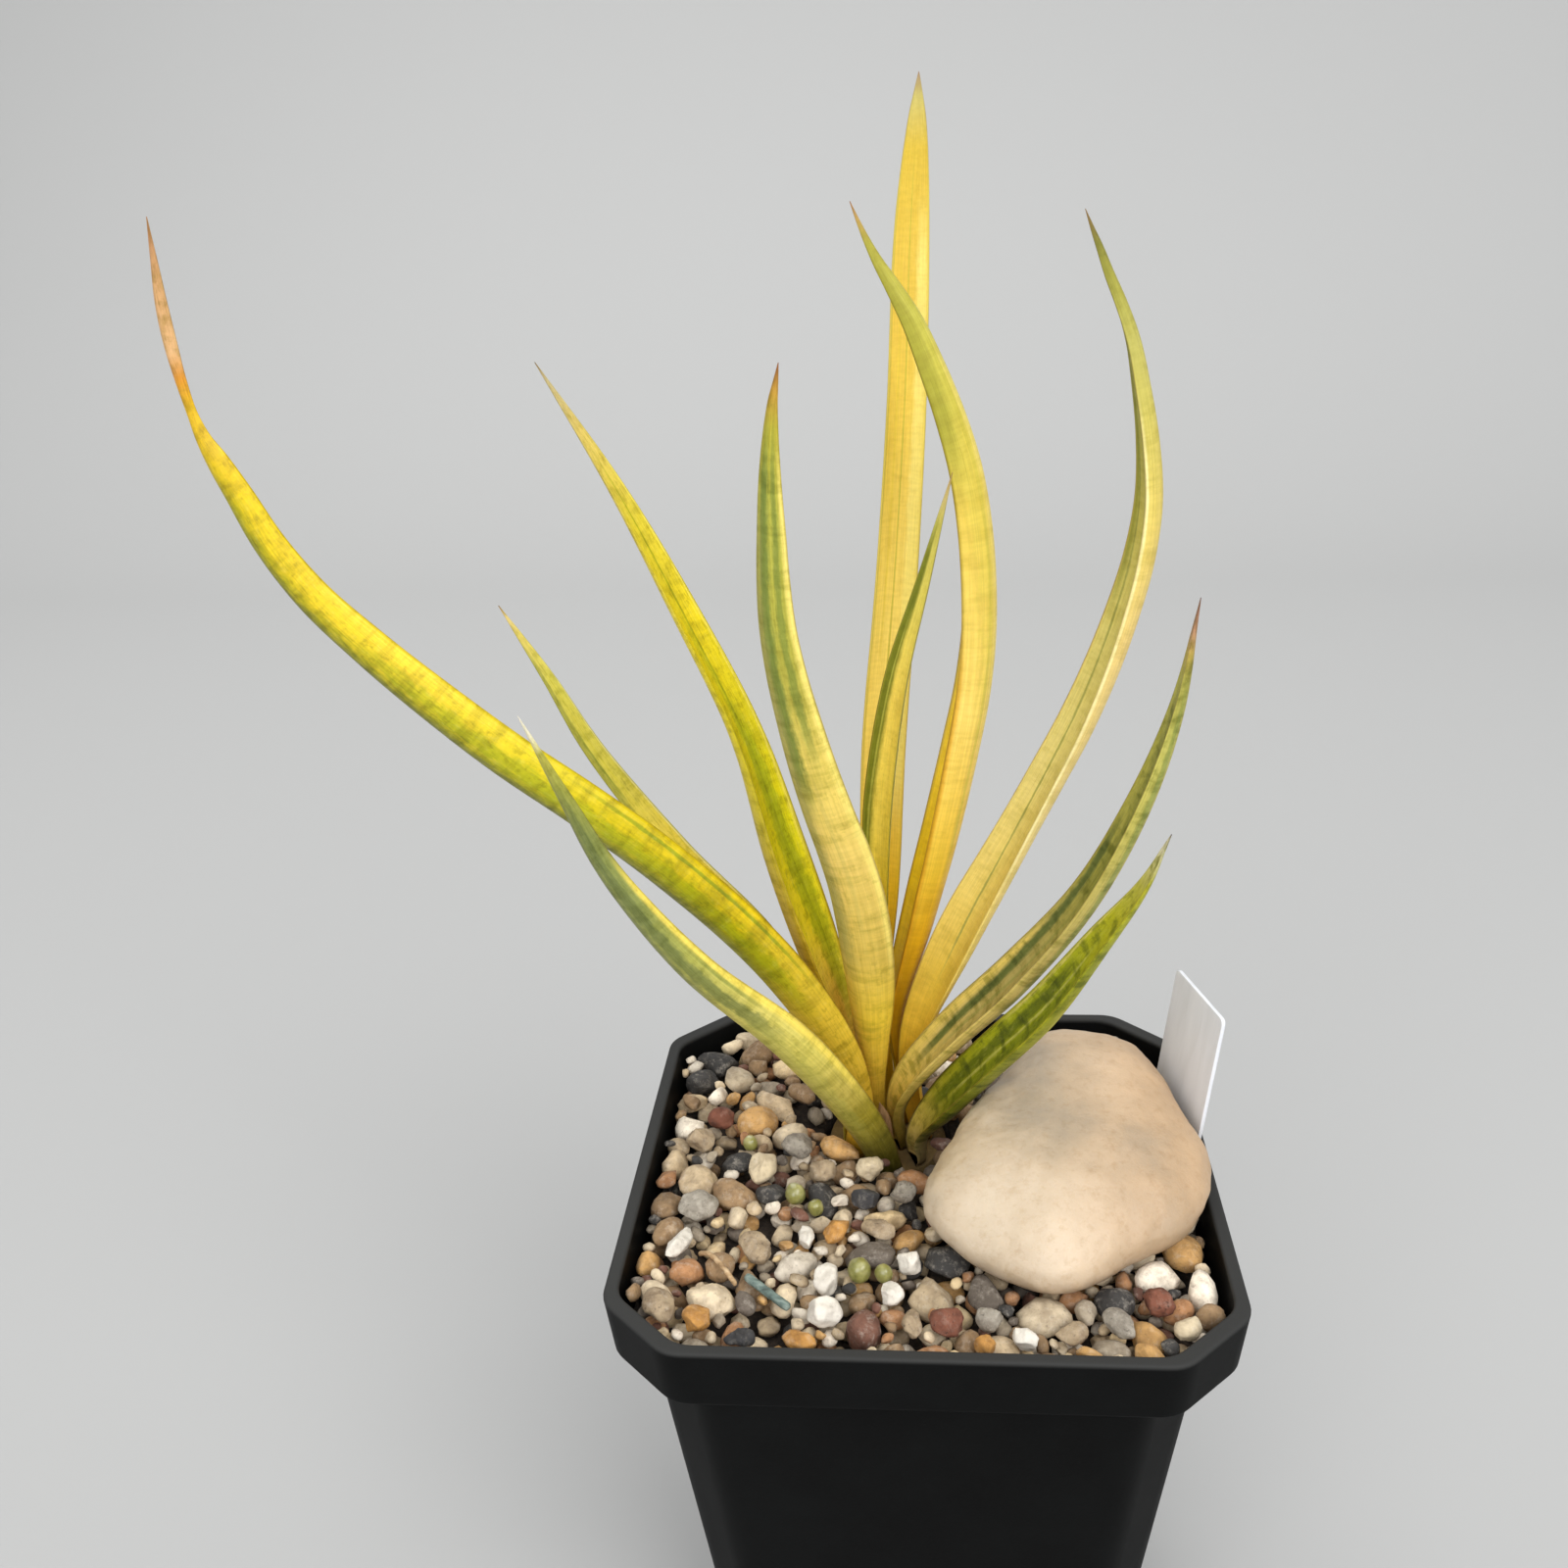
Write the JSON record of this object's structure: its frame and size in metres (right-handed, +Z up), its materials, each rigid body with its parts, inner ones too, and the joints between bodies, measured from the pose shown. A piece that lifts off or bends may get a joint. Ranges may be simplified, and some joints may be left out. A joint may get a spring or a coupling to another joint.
{
  "type": "potted snake plant",
  "caption": "Young yellow-variegated snake plant with slim channelled leaves in a square black nursery pot, dressed with gravel, a river stone and a blank label.",
  "frame": {"origin": "centre of the pot's flat foot, on the surface it stands on", "axes": "+Z up, -Y towards the side the plant is seen from, +X to the right of that view"},
  "size_m": [0.1564, 0.0998, 0.2755],
  "materials": {
    "crown": "fibrous",
    "dry_scale": "dry and papery",
    "dry_twig": "dry",
    "gravel_bed": "mixed rough gravel",
    "leaf_arched": "waxy green-and-yellow leaf, half matt",
    "leaf_centre": "waxy green-and-yellow leaf, half matt",
    "leaf_far_left": "waxy green-and-yellow leaf, half matt",
    "leaf_front_left": "waxy green-and-yellow leaf, half matt",
    "leaf_front_right": "waxy green-and-yellow leaf, half matt",
    "leaf_left_long": "waxy green-and-yellow leaf, half matt",
    "leaf_left_short": "waxy green-and-yellow leaf, half matt",
    "leaf_right": "waxy green-and-yellow leaf, half matt",
    "leaf_right_long": "waxy green-and-yellow leaf, half matt",
    "leaf_slim": "waxy green-and-yellow leaf, half matt",
    "leaf_tall": "waxy green-and-yellow leaf, half matt",
    "pebble_amber": "smooth",
    "pebble_cream": "rough",
    "pebble_dark": "porous",
    "pebble_grey": "rough",
    "pebble_red": "porous",
    "pebble_tan": "rough",
    "pebble_white": "rough",
    "plant_label": "smooth white",
    "pot": "matt moulded black",
    "potting_mix": "loose, dark and damp",
    "prill": "resin-coated grain",
    "river_stone": "smooth, water-worn",
    "stick_fragment": "dry, grey-green"
  },
  "bodies": {
    "root": {"crown": "crown", "dry_scale": "dry_scale", "dry_twig": "dry_twig", "gravel_bed": "gravel_bed", "leaf_arched": "leaf_arched", "leaf_centre": "leaf_centre", "leaf_far_left": "leaf_far_left", "leaf_front_left": "leaf_front_left", "leaf_front_right": "leaf_front_right", "leaf_left_long": "leaf_left_long", "leaf_left_short": "leaf_left_short", "leaf_right": "leaf_right", "leaf_right_long": "leaf_right_long", "leaf_slim": "leaf_slim", "leaf_tall": "leaf_tall", "pebble_amber": "pebble_amber", "pebble_back_speckled": "pebble_grey", "pebble_back_tan": "pebble_tan", "pebble_banded": "pebble_grey", "pebble_basalt": "pebble_dark", "pebble_beige": "pebble_tan", "pebble_big_grey": "pebble_grey", "pebble_block": "pebble_red", "pebble_broad_white": "pebble_white", "pebble_cone": "pebble_cream", "pebble_dark": "pebble_dark", "pebble_disc": "pebble_grey", "pebble_flat": "pebble_tan", "pebble_front_amber": "pebble_amber", "pebble_front_grey": "pebble_grey", "pebble_front_orange": "pebble_amber", "pebble_front_white": "pebble_white", "pebble_grey_white": "pebble_white", "pebble_left_amber": "pebble_amber", "pebble_left_tan": "pebble_tan", "pebble_long_white": "pebble_white", "pebble_oval": "pebble_tan", "pebble_pumice": "pebble_grey", "pebble_red": "pebble_red", "pebble_right_beige": "pebble_tan", "pebble_right_brown": "pebble_red", "pebble_right_cream": "pebble_cream", "pebble_round_white": "pebble_white", "pebble_slim_white": "pebble_white", "pebble_upright_tan": "pebble_tan", "pebble_upright_white": "pebble_white", "pebble_yellow": "pebble_cream", "plant_label": "plant_label", "pot": "pot", "potting_mix": "potting_mix", "prill_1": "prill", "prill_2": "prill", "prill_3": "prill", "prill_4": "prill", "prill_5": "prill", "river_stone": "river_stone", "stick_fragment": "stick_fragment"}
  },
  "joints": []
}
